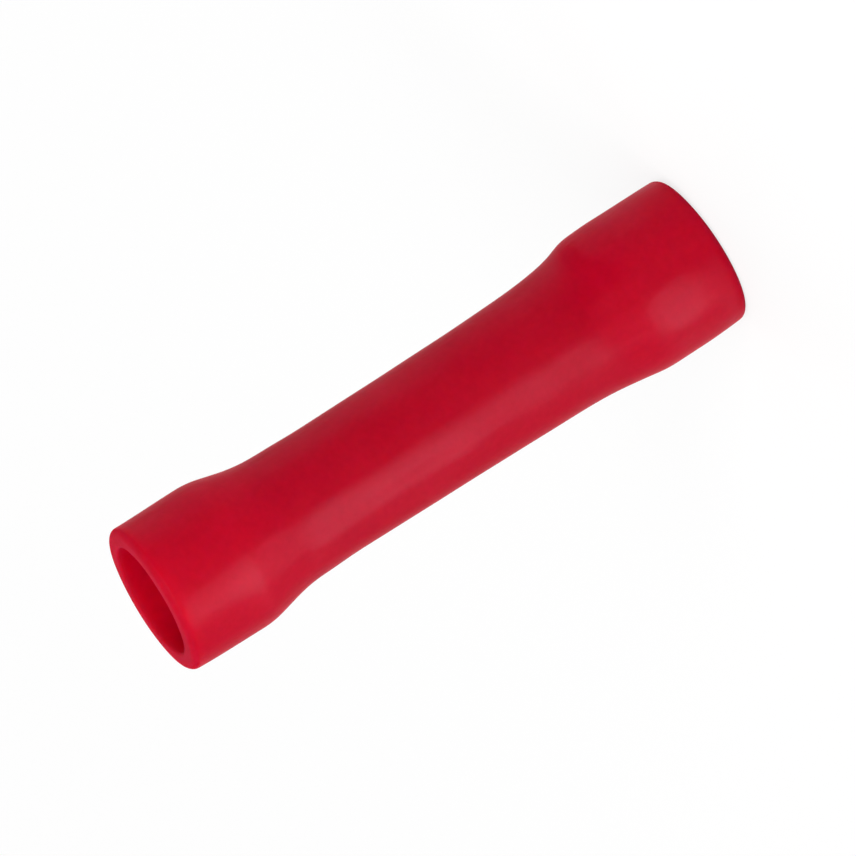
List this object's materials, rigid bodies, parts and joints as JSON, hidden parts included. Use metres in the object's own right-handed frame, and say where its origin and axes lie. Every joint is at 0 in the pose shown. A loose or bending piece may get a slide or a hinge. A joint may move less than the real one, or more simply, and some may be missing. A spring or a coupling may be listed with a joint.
{
  "type": "butt splice connector",
  "caption": "Insulated butt splice for joining wires end to end: a red vinyl sleeve with bell-mouthed ends and a narrower waist, held around a tin-plated crimp barrel with a centre stop.",
  "frame": {"origin": "centre of the lower lip, on the surface that the connector stands on", "axes": "+Z along the bore, from the lower mouth to the upper mouth; X and Y are any two directions across it"},
  "size_m": [0.0062, 0.0062, 0.025],
  "materials": {
    "red_vinyl": "opaque crimson vinyl, coloured right through, smooth with a satin sheen",
    "tinned_copper": null
  },
  "bodies": {
    "root": {"insulation_sleeve": "red_vinyl", "crimp_barrel": "tinned_copper"}
  },
  "joints": []
}
